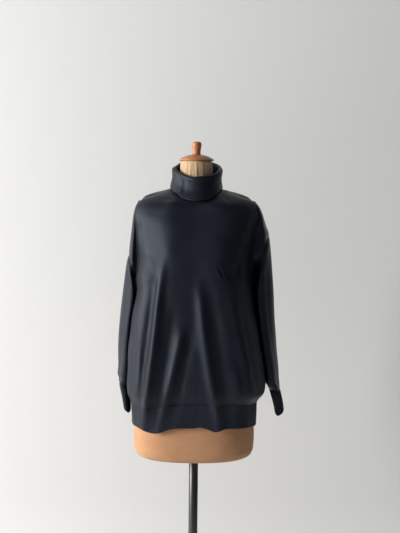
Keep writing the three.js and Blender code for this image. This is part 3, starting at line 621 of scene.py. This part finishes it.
def sleeve(side, material):
    sign = -1 if side == "left" else 1
    t = np.linspace(0, 1, SLEEVE_RINGS)
    turn = np.arange(SLEEVE_COLUMNS) / SLEEVE_COLUMNS
    swell = np.zeros((SLEEVE_RINGS, SLEEVE_COLUMNS))
    for place, drift, width, height in SLEEVE_FOLDS:
        away = turn[None] - place - drift * np.sin(5 * t[:, None])
        away = away - np.round(away)
        fade = smooth(t / 0.2) * (1 - 0.6 * smooth((t - 0.9) / 0.1))
        swell += height * fade[:, None] * hill(away / width)
    arc = turn[None] * 270
    calm = (smooth(t / 0.15) * (1 - 0.5 * smooth((t - 0.9) / 0.1)))[:, None]
    swell += 0.9 * calm * ripple(arc, t[:, None] * 420, 21 if sign > 0 else 22)
    swell += 0.8 * calm * ripple(arc * 2.4, t[:, None] * 170, 25 if sign > 0 else 26)
    # Cloth bunches a little above the cuff.
    bunch = smooth((t[:, None] - 0.72) / 0.2) * (1 - smooth((t[:, None] - 0.96) / 0.04))
    swell += 0.8 * bunch * ripple(arc * 1.3, t[:, None] * 1500, 23 if sign > 0 else 24)
    free = tube_points(SLEEVES[side], t * 7, turn, sign, swell)
    # The front edge lies towards the body, so the outer face turns forwards.
    apart = smooth(t / 0.2) * (1 - smooth((t - 0.86) / 0.12))
    free[..., 0] -= sign * 12 * apart[:, None] * hill((turn[None] - 0.24) / 0.13)
    # The side behind the body lies against it.
    height = free[..., 2]
    lower, upper = smooth((height - 885) / 50), smooth((height - 960) / 70)
    beside = smooth((1240 - height) / 40) * (0.55 * lower + 0.45 * upper)
    beside = beside * (1 + 0.5 * hill((height - 1180) / 30))
    free[..., 0] -= sign * LEAN[side] * beside * hill((turn[None] - 0.575) / 0.085)
    seam = armhole_point(side, turn)[None]
    # The first rings run from the armhole's seam into the free shape.
    into = t * 14
    blend = mix(0.5, 1, smooth(into / 3)) * smooth(into) ** 0.5
    grid = mix(seam, free, blend[:, None, None])
    grid = seam_gap(grid, SEAM_GAP, columns=False)
    if sign > 0:
        grid = grid[:, ::-1]
    # Rows run from the armhole down, so the outward side is turned over for the shell.
    grid = grid[::-1]
    n = grid_normals(grid, True)
    grid = pinch_rows(grid, n, True, True)
    return shell(f"sleeve_{side}", grid + n * CLOTH / 2, grid - n * CLOTH / 2, True, material)


def even_ring(ring, count):
    """count points at even steps of length round each closed ring of a stack."""
    out = []
    for points in ring:
        closed = np.concatenate([points, points[:1]])
        at = np.concatenate([[0], np.cumsum(np.linalg.norm(np.diff(closed, axis=0), axis=1))])
        want = np.arange(count) * at[-1] / count
        out.append(np.stack([np.interp(want, at, closed[:, k]) for k in range(3)], -1))
    return np.array(out)


def ribbed(name, rings, ribs, per_rib, rib_height, material):
    """A tube of raised ribs, whose loose edge is the first ring."""
    rings = even_ring(rings, ribs * per_rib)
    n = grid_normals(rings, True)
    phase = np.arange(ribs * per_rib) / per_rib
    wave = 0.5 + 0.5 * np.cos(2 * np.pi * phase)
    ridge = rib_height * smooth(wave)
    down = lengths(rings, 0)
    roll = 0.45 * hill((down - 2.5) / 2.6) - 0.5 * hill((down - EDGE_ROLL) / 1.5)
    seam = -SEAM_PINCH * hill((down.max() - down) / SEAM_WIDTH)
    tuck = np.minimum(1, 0.35 + down / 5)
    lift = ridge[None] * tuck[:, None] + (roll + seam)[:, None]
    outer = rings + n * (RIB_WALL / 2 + lift)[..., None]
    inner = rings - n * (RIB_WALL / 2)
    return shell(name, outer, inner, True, material)


def hem(material):
    v = np.linspace(0, SECTION["ribTop"], HEM_RINGS)
    u = across_panel()
    front = cloth_points(v, u, "front")[:, :-1]
    back = cloth_points(v, u, "back")[:, ::-1][:, :-1]
    rings = np.concatenate([front, back], 1)
    rings[-1, :, 2] -= SEAM_GAP
    return ribbed("hem_rib", rings, HEM_RIBS, 4, HEM_RIB_HEIGHT, material)


def cuff(side, material):
    sign = -1 if side == "left" else 1
    at = np.linspace(2, 0, CUFF_RINGS)
    turn = np.arange(CUFF_COLUMNS) / CUFF_COLUMNS
    if sign > 0:
        turn = (1 - turn) % 1
    swell = 0.5 * ripple(turn[None] * 180, at[:, None] * 40, 31 if sign > 0 else 32)
    rings = tube_points(CUFFS[side], at, turn, sign, swell)
    # The loose edge is uneven: the front half hangs lower than the outer side.
    drop = 2 * hill((turn - 0.34) / 0.09) - 3 * hill((turn - 0.1) / 0.07) + 0.8 * np.sin(46 * np.pi * turn)
    rings[..., 2] -= drop[None] * smooth((at[:, None] - 1.3) / 0.7)
    return ribbed(f"cuff_{side}", rings, CUFF_RIBS, 6, CUFF_RIB_HEIGHT, material)


# Collar
def round_neck(towards, front, side, back, power=2):
    """A measure that goes from front to side to back. towards: 1 in front, -1 at the back."""
    share = np.abs(towards) ** power
    return np.where(towards > 0, mix(side, front, share), mix(side, back, share))


def collar(material):
    fine = np.linspace(-2, 2, 161)
    front = top_edge(fine, "front")[:-1]
    back = top_edge(fine, "back")[::-1][:-1]
    foot = even_ring(np.concatenate([front, back])[None], COLLAR_COLUMNS)[0]
    flat = foot - [0, 2, 0]
    flat[:, 2] = 0
    reach = np.linalg.norm(flat, axis=1)
    way = flat / reach[:, None]
    towards = -way[:, 1]
    turn = np.arctan2(way[:, 0], towards)
    rim = round_neck(towards, COLLAR_RIM["front"], COLLAR_RIM["side"], COLLAR_RIM["back"])
    heights = [COLLAR_RIM[key] for key in ("frontZ", "sideZ", "backZ")]
    rim_z = round_neck(towards, *heights, RIM_RISE)
    edge = round_neck(towards, COLLAR_EDGE["front"], COLLAR_EDGE["side"], COLLAR_EDGE["back"])
    edge_z = round_neck(towards, COLLAR_EDGE["frontZ"], COLLAR_EDGE["sideZ"], COLLAR_EDGE["backZ"])
    rim = rim + 0.8 * np.sin(3 * turn + 0.6) + 0.5 * np.sin(5 * turn + 2)
    rim_z = rim_z + 0.9 * np.sin(4 * turn + 1) + 0.6 * np.sin(7 * turn)
    edge = edge + 1.0 * np.sin(4 * turn + 0.4) + 0.6 * np.sin(9 * turn + 1)
    edge_z = edge_z + 1.2 * np.sin(5 * turn + 2.2) + 0.7 * np.sin(8 * turn)
    edge_z = edge_z + 4 * hill((turn + 0.75) / 0.14)
    foot_z = foot[:, 2] + CLOTH / 2 + 0.5
    inner = rim - 2 * COLLAR_FOLD
    line = [
        (reach - 0.5, foot_z),
        (mix(reach, inner, 0.55), mix(foot_z, rim_z, 0.35)),
        (inner - 0.5, mix(foot_z, rim_z, 0.7)),
        (inner, rim_z - COLLAR_FOLD),
        (inner + COLLAR_FOLD * 0.3, rim_z - COLLAR_FOLD * 0.3),
        (inner + COLLAR_FOLD, rim_z),
        (inner + COLLAR_FOLD * 1.7, rim_z - COLLAR_FOLD * 0.3),
        (rim, rim_z - COLLAR_FOLD),
        (mix(rim, edge, 0.12), mix(rim_z, edge_z, 0.34)),
        (mix(rim, edge, 0.4), mix(rim_z, edge_z, 0.68)),
        (edge, edge_z),
    ]
    line = np.array([np.stack(pair, -1) for pair in line])
    steps = np.concatenate([
        np.linspace(0, 3, 22, endpoint=False),
        np.linspace(3, 7, 20, endpoint=False),
        np.linspace(7, 10, 34),
    ])
    profile = through(line, steps)
    s = steps[:, None]
    dent = smooth((s - 7) / 0.8) * smooth((10.2 - s) / 0.8)
    buckle = 0.9 * ripple(turn[None] * 80, s * 22, 41) * dent
    # A groove under the front rim shows the layer inside, and one upright fold stands beside it.
    across = (way[:, 0] * rim)[None]
    in_front = smooth((towards[None] - 0.2) / 0.3)
    buckle -= 1.0 * hill((s - 7.52) / 0.09) * smooth((42 - np.abs(across)) / 14) * in_front
    upright = smooth((s - 7.5) / 0.4) * smooth((9.6 - s) / 0.5) * in_front
    buckle += upright * (1.2 * hill((across + 42) / 3.5) - 1.0 * hill((across + 33) / 4.5))
    buckle -= 0.35 * hill((s - 9.75) / 0.08)
    # The outer layer is drawn in half way down at the sides.
    buckle -= 2.4 * hill((s - 8.5) / 0.75) * way[None, :, 0] ** 2 * dent
    profile[..., 0] += buckle
    grid = np.stack(
        [
            way[None, :, 0] * profile[..., 0] + 3.5 * smooth(s / 3) * (1 - 0.8 * smooth((s - 7) / 3)),
            way[None, :, 1] * profile[..., 0] + 2,
            profile[..., 1],
        ],
        -1,
    )
    # The rows run up the inner layer and down the outer one, so the faces are turned over.
    n = grid_normals(grid, True)
    wall = COLLAR_WALL / 2
    return shell("collar", grid - n * wall, grid + n * wall, True, material, swap=True)


# Form and stand
def ring_solid(name, rings, material):
    """A closed body from a stack of rings in millimetres."""
    high, wide = rings.shape[:2]
    along = lengths(np.concatenate([rings, rings[:, :1]], 1), 1)[:-1]
    up = lengths(rings, 0)
    uv = np.stack(np.meshgrid(along, up), -1).reshape(-1, 2) * MM
    at = np.arange(high * wide).reshape(high, wide)
    at = np.concatenate([at, at[:, :1]], 1)
    faces = np.stack([at[:-1, :-1], at[:-1, 1:], at[1:, 1:], at[1:, :-1]], -1).reshape(-1, 4)
    ends = [rings[0].mean(0), rings[-1].mean(0)]
    low, top = high * wide, high * wide + 1
    caps = [[low, at[0, i + 1], at[0, i]] for i in range(wide)]
    caps += [[top, at[-1, i], at[-1, i + 1]] for i in range(wide)]
    vertices = np.concatenate([rings.reshape(-1, 3), ends]) * MM
    uv = np.concatenate([uv, [[0, 0], [0, 0]]])
    return new_object(name, vertices, faces.tolist() + caps, uv, material)


def super_ring(half, front, back, square, z, count):
    """A level ring between an oval and a rectangle. square: 2 for an oval."""
    angle = 2 * np.pi * np.arange(count) / count
    c, s = np.cos(angle), np.sin(angle)
    power = 2 / square
    depth = np.where(s < 0, front, back)
    return np.stack(
        [half * np.sign(c) * np.abs(c) ** power, depth * np.sign(s) * np.abs(s) ** power, z + 0 * c], -1
    )


def torso(material):
    rows = np.array(FORM, float)
    steps = np.concatenate([np.linspace(0, 3, 16, endpoint=False), np.linspace(3, len(rows) - 1, 90)])
    fine = np.stack([np.interp(steps, np.arange(len(rows)), rows[:, k]) for k in range(5)], -1)
    soft = through(rows, steps)
    fine[:, 1:4] = np.minimum(fine[:, 1:4] + 0.4, soft[:, 1:4])
    # The shoulders stay clear of the cloth that lies on them.
    on_shoulder = smooth((fine[:, 0] - 1345) / 20) * (1 - smooth((fine[:, 0] - 1412) / 9))
    fine[:, 1:4] -= (SHOULDER_CLEARANCE * on_shoulder)[:, None]
    rings = np.array([super_ring(h, f, b, q, z, TORSO_COLUMNS) for z, h, f, b, q in fine])
    return ring_solid("form_torso_cover", rings, material)


def lathe(name, profile, sides, material, wobble=None):
    """A body turned from a profile of radius and height."""
    angle = 2 * np.pi * np.arange(sides) / sides
    rings = []
    for r, z in profile:
        radius = r + (wobble(angle, z) if wobble else 0)
        rings.append(np.stack([radius * np.cos(angle), radius * np.sin(angle), z + 0 * angle], -1))
    return ring_solid(name, np.array(rings), material)


def rounded(profile, steps):
    """Points between those of a profile, on a smooth curve."""
    at = np.linspace(0, len(profile) - 1, steps)
    return through(np.array(profile, float), at)


def gathers(angle, z):
    """Pleats in the neck's cover that run together upwards."""
    lean = (1491 - z) / 69
    waves = np.sin(19 * angle + 2.2 * np.sin(2 * angle) * lean)
    waves = waves + 0.6 * np.sin(31 * angle - 3 * lean + 1)
    return 0.55 * waves * smooth((1492 - z) / 14) * smooth((z - 1426) / 8)


# Materials
def nodes_of(name):
    material = bpy.data.materials.new(name)
    material.use_nodes = True
    tree = material.node_tree
    return material, tree, tree.nodes["Principled BSDF"]


def add_node(tree, kind, inputs=None, **settings):
    node = tree.nodes.new(kind)
    for key, value in settings.items():
        setattr(node, key, value)
    for key, value in (inputs or {}).items():
        if isinstance(value, bpy.types.NodeSocket):
            tree.links.new(value, node.inputs[key])
        else:
            node.inputs[key].default_value = value
    return node


def maths(tree, operation, a, b=0.0, c=0.0):
    node = tree.nodes.new("ShaderNodeMath")
    node.operation = operation
    for k, value in enumerate((a, b, c)):
        if isinstance(value, bpy.types.NodeSocket):
            tree.links.new(value, node.inputs[k])
        else:
            node.inputs[k].default_value = value
    return node.outputs[0]


def colour_mix(tree, factor, a, b):
    node = tree.nodes.new("ShaderNodeMix")
    node.data_type = "RGBA"
    for socket, value in ((node.inputs[0], factor), (node.inputs[6], a), (node.inputs[7], b)):
        if isinstance(value, bpy.types.NodeSocket):
            tree.links.new(value, socket)
        else:
            socket.default_value = value
    return node.outputs[2]


def knit_material(name, wale, course, relief):
    """Fine stockinette: columns of small vees, with soft fuzz, slow random changes of tone and painted
    shade in the hollows of the stitches.
    """
    material, tree, shader = nodes_of(name)
    uv = add_node(tree, "ShaderNodeTexCoord").outputs["UV"]
    split = add_node(tree, "ShaderNodeSeparateXYZ", {0: uv})
    across = maths(tree, "DIVIDE", split.outputs[0], wale * MM)
    up = maths(tree, "DIVIDE", split.outputs[1], course * MM)
    place = maths(tree, "FRACT", across)
    slope = maths(tree, "ABSOLUTE", maths(tree, "SUBTRACT", place, 0.5))
    lean = maths(tree, "MULTIPLY_ADD", slope, -1.1, up)
    loops = maths(tree, "SINE", maths(tree, "MULTIPLY", lean, 2 * math.pi))
    legs = maths(tree, "SINE", maths(tree, "MULTIPLY", slope, 2 * math.pi))
    stitch = maths(tree, "MULTIPLY_ADD", loops, 0.35, legs)
    position = add_node(tree, "ShaderNodeNewGeometry").outputs["Position"]
    fuzz = add_node(tree, "ShaderNodeTexNoise", {"Vector": position, "Scale": 900.0, "Detail": 3.0})
    slub = add_node(tree, "ShaderNodeTexNoise", {"Vector": position, "Scale": 60.0, "Detail": 4.0})
    height = maths(tree, "MULTIPLY_ADD", fuzz.outputs[0], 0.6, stitch)
    height = maths(tree, "MULTIPLY_ADD", slub.outputs[0], 1.1, height)
    bump = add_node(tree, "ShaderNodeBump", {"Height": height, "Strength": 0.35, "Distance": relief * MM})
    tree.links.new(bump.outputs[0], shader.inputs["Normal"])
    shade = maths(tree, "MULTIPLY_ADD", slub.outputs[0], 0.5, 0.15)
    # Painted shade: the colour darkens in the hollows of the stitches and lightens on their tops,
    # following the stitch relief.
    shade = maths(tree, "MULTIPLY_ADD", stitch, 0.12, shade)
    colour = colour_mix(tree, shade, *KNIT_SHADES)
    tree.links.new(colour, shader.inputs["Base Color"])
    shader.inputs["Roughness"].default_value = 0.385
    shader.inputs["Specular IOR Level"].default_value = 0.23
    shader.inputs["Specular Tint"].default_value = (0.78, 0.86, 1.0, 1)
    return material


def linen_material(name, light, dark, thread):
    """Plain weave with slubs along the threads and soft stains."""
    material, tree, shader = nodes_of(name)
    uv = add_node(tree, "ShaderNodeTexCoord").outputs["UV"]
    split = add_node(tree, "ShaderNodeSeparateXYZ", {0: uv})
    threads = []
    for k in (0, 1):
        at = maths(tree, "MULTIPLY", split.outputs[k], 2 * math.pi / (thread * MM))
        threads.append(maths(tree, "SINE", at))
    weave = maths(tree, "MULTIPLY", threads[0], threads[1])
    stretched = add_node(tree, "ShaderNodeMapping", {"Vector": uv, "Scale": (28.0, 420.0, 1.0)})
    streaks = add_node(
        tree, "ShaderNodeTexNoise", {"Vector": stretched.outputs[0], "Scale": 1.0, "Detail": 5.0}
    )
    position = add_node(tree, "ShaderNodeNewGeometry").outputs["Position"]
    stains = add_node(tree, "ShaderNodeTexNoise", {"Vector": position, "Scale": 14.0, "Detail": 4.0})
    shade = maths(tree, "MULTIPLY_ADD", streaks.outputs[0], 0.9, -0.15)
    shade = maths(tree, "MULTIPLY_ADD", stains.outputs[0], 1.0, shade)
    shade = maths(tree, "SUBTRACT", shade, 0.4)
    colour = colour_mix(tree, shade, (*light, 1), (*dark, 1))
    tree.links.new(colour, shader.inputs["Base Color"])
    height = maths(tree, "MULTIPLY_ADD", streaks.outputs[0], 1.4, weave)
    bump = add_node(tree, "ShaderNodeBump", {"Height": height, "Strength": 0.45, "Distance": 0.25 * MM})
    tree.links.new(bump.outputs[0], shader.inputs["Normal"])
    shader.inputs["Roughness"].default_value = 0.82
    shader.inputs["Specular IOR Level"].default_value = 0.25
    shader.inputs["Sheen Weight"].default_value = 0.12
    return material


def wood_material():
    """Varnished wood with fine upright grain."""
    material, tree, shader = nodes_of("varnished_wood")
    position = add_node(tree, "ShaderNodeNewGeometry").outputs["Position"]
    grain = add_node(tree, "ShaderNodeMapping", {"Vector": position, "Scale": (240.0, 40.0, 40.0)})
    lines = add_node(
        tree, "ShaderNodeTexNoise", {"Vector": grain.outputs[0], "Scale": 1.0, "Detail": 6.0}
    )
    colour = colour_mix(tree, lines.outputs[0], (0.58, 0.23, 0.085, 1), (0.36, 0.12, 0.04, 1))
    tree.links.new(colour, shader.inputs["Base Color"])
    shader.inputs["Roughness"].default_value = 0.48
    shader.inputs["Coat Weight"].default_value = 0.15
    shader.inputs["Coat Roughness"].default_value = 0.2
    bump = add_node(
        tree, "ShaderNodeBump", {"Height": lines.outputs[0], "Strength": 0.2, "Distance": 0.2 * MM}
    )
    tree.links.new(bump.outputs[0], shader.inputs["Normal"])
    return material


def metal_material(name, colour, roughness, metallic):
    """Satin metal, a little uneven."""
    material, tree, shader = nodes_of(name)
    position = add_node(tree, "ShaderNodeNewGeometry").outputs["Position"]
    marks = add_node(tree, "ShaderNodeTexNoise", {"Vector": position, "Scale": 120.0, "Detail": 4.0})
    rough = maths(tree, "MULTIPLY_ADD", marks.outputs[0], 0.2, roughness - 0.1)
    tree.links.new(rough, shader.inputs["Roughness"])
    shader.inputs["Base Color"].default_value = (*colour, 1)
    shader.inputs["Metallic"].default_value = metallic
    return material


knit = knit_material("fine_knit", 1.9, 1.5, 0.35)
rib_knit = knit_material("rib_knit", 1.3, 1.4, 0.3)
linen = linen_material("tan_linen", (0.62, 0.34, 0.18), (0.42, 0.20, 0.10), 0.9)
neck_linen = linen_material("pale_linen", (0.68, 0.48, 0.30), (0.45, 0.28, 0.16), 0.9)
wood = wood_material()
steel = metal_material("dark_steel", (0.075, 0.075, 0.078), 0.36, 0.9)
iron = metal_material("dark_iron", (0.03, 0.03, 0.032), 0.5, 0.4)

# Build
built = {}
for half in ("front", "back"):
    built[half] = panel(half, knit)
for side in ("right", "left"):
    built[f"sleeve_{side}"] = sleeve(side, knit)
    built[f"cuff_{side}"] = cuff(side, rib_knit)
built["hem_rib"] = hem(rib_knit)
built["collar"] = collar(knit)

hard = {
    "form_torso": torso(linen),
    "form_neck": lathe(
        "form_neck_cover",
        np.concatenate([
            [[20, 1422.3]],
            rounded([[50.6, 1422.4], [49, 1440], [47, 1466], [45.5, 1488.6]], 40),
            [[42.6, 1489.2], [42.6, 1491.3], [20, 1491.35]],
        ]),
        160, neck_linen, gathers,
    ),
    "neck_cap": lathe(
        "neck_cap_wood",
        np.concatenate([
            [[20, 1491.7], [46.6, 1491.7]],
            rounded([[49.2, 1492.3], [50, 1494], [49.4, 1496], [43, 1500.2], [33, 1505],
                     [22, 1508.3], [14, 1509.6]], 40),
        ]),
        96, wood,
    ),
    "cap_knob": lathe(
        "cap_knob_wood",
        rounded([[12.4, 1510.1], [11.4, 1514], [11.8, 1522], [13.2, 1531], [14, 1538],
                 [13, 1543.4], [9.6, 1546.2], [2, 1547]], 48),
        64, wood,
    ),
    "stand_pole": lathe(
        "stand_pole_tube", [[12.6, 42.3], [13.5, 43.2], [13.5, 626], [12.8, 626.7]], 64, steel
    ),
    "stand_foot": lathe(
        "stand_foot_disc",
        np.concatenate([
            [[140, 0.02], [148, 0.3]],
            rounded([[149.6, 2], [150, 5], [149.8, 9], [146, 11.8]], 12),
            rounded([[140, 12.4], [60, 16], [27, 20], [20.4, 26], [19, 34], [19, 41.4]], 30),
            [[18, 42]],
        ]),
        128, iron,
    ),
}

for node, piece in hard.items():
    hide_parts(node)
    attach(piece, "root")

# Each piece of cloth takes its node's name, hides that node and hangs on the root.
for name, piece in built.items():
    piece.name = f"{name}_knit"
    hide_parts(name)
    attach(piece, "root")


# Stage and light
def backdrop():
    """A pale floor that turns up into a wall close behind."""
    material, tree, shader = nodes_of("pale_wall")
    shader.inputs["Base Color"].default_value = (0.80, 0.80, 0.79, 1)
    shader.inputs["Roughness"].default_value = 0.9
    shader.inputs["Specular IOR Level"].default_value = 0.1
    # The stage is clear from its far side, so that the back of the sweater can be seen.
    far_side = add_node(tree, "ShaderNodeNewGeometry").outputs["Backfacing"]
    tree.links.new(maths(tree, "SUBTRACT", 1.0, far_side), shader.inputs["Alpha"])
    line = [(-4.0, 0.0), (WALL_Y - WALL_RADIUS, 0.0)]
    for k in range(1, 13):
        a = math.pi / 2 * k / 12
        rise = WALL_RADIUS - WALL_RADIUS * math.cos(a)
        line.append((WALL_Y - WALL_RADIUS + WALL_RADIUS * math.sin(a), rise))
    line.append((WALL_Y, 3.6))
    vertices = [(x, y, z - 0.0002) for y, z in line for x in (-4.0, 4.0)]
    faces = [(2 * i, 2 * i + 1, 2 * i + 3, 2 * i + 2) for i in range(len(line) - 1)]
    mesh = bpy.data.meshes.new("backdrop")
    mesh.from_pydata(vertices, [], faces)
    mesh.polygons.foreach_set("use_smooth", [True] * len(mesh.polygons))
    mesh.materials.append(material)
    obj = bpy.data.objects.new("backdrop", mesh)
    bpy.context.scene.collection.objects.link(obj)


def area_light(name, place, aim, size, power, colour):
    data = bpy.data.lights.new(name, "AREA")
    data.shape = "RECTANGLE"
    data.size, data.size_y = size
    data.energy = power
    data.color = colour
    obj = bpy.data.objects.new(name, data)
    bpy.context.scene.collection.objects.link(obj)
    way = np.array(aim, float) - np.array(place, float)
    way /= np.linalg.norm(way)
    right = np.cross(way, (0, 0, 1.0))
    right /= np.linalg.norm(right)
    up = np.cross(right, way)
    obj.matrix_world = Matrix((
        (right[0], up[0], -way[0], place[0]),
        (right[1], up[1], -way[1], place[1]),
        (right[2], up[2], -way[2], place[2]),
        (0, 0, 0, 1),
    ))


backdrop()
area_light("window", (-5.4, -1.8, 2.2), (0, 0, 1.1), (2.4, 2.4), 500, (1.0, 0.985, 0.965))
world = bpy.data.worlds.new("room")
world.use_nodes = True
world.node_tree.nodes["Background"].inputs[0].default_value = (0.9, 0.95, 1.0, 1)
room = world.node_tree
towards = add_node(room, "ShaderNodeTexCoord").outputs["Generated"]
sideways = add_node(room, "ShaderNodeSeparateXYZ", {0: towards}).outputs[0]
strength = maths(room, "MULTIPLY_ADD", sideways, -ROOM_LOSS, ROOM_LIGHT)
room.links.new(strength, room.nodes["Background"].inputs[1])
bpy.context.scene.world = world

# Camera: level with the shoulders, tipped a little down
FOCAL_PIXELS = 802
PICTURE_HEIGHT = 533
SENSOR = 36
pitch, yaw, roll = (math.radians(x) for x in (4.74, 0.32, -0.6))
forward = np.array([
    math.sin(yaw) * math.cos(pitch), math.cos(yaw) * math.cos(pitch), -math.sin(pitch)
])
right = np.cross(forward, (0, 0, 1.0))
right /= np.linalg.norm(right)
up = np.cross(right, forward)
side_way = math.cos(roll) * right - math.sin(roll) * up
up_way = math.sin(roll) * right + math.cos(roll) * up
lens = bpy.data.cameras.new("camera")
lens.sensor_width = SENSOR
lens.lens = SENSOR * FOCAL_PIXELS / PICTURE_HEIGHT
camera = bpy.data.objects.new("camera", lens)
bpy.context.scene.collection.objects.link(camera)
camera.matrix_world = Matrix((
    (side_way[0], up_way[0], -forward[0], 0.0),
    (side_way[1], up_way[1], -forward[1], -2.326),
    (side_way[2], up_way[2], -forward[2], 1.380),
    (0, 0, 0, 1),
))
bpy.context.scene.camera = camera
bpy.context.scene.view_settings.view_transform = "Standard"
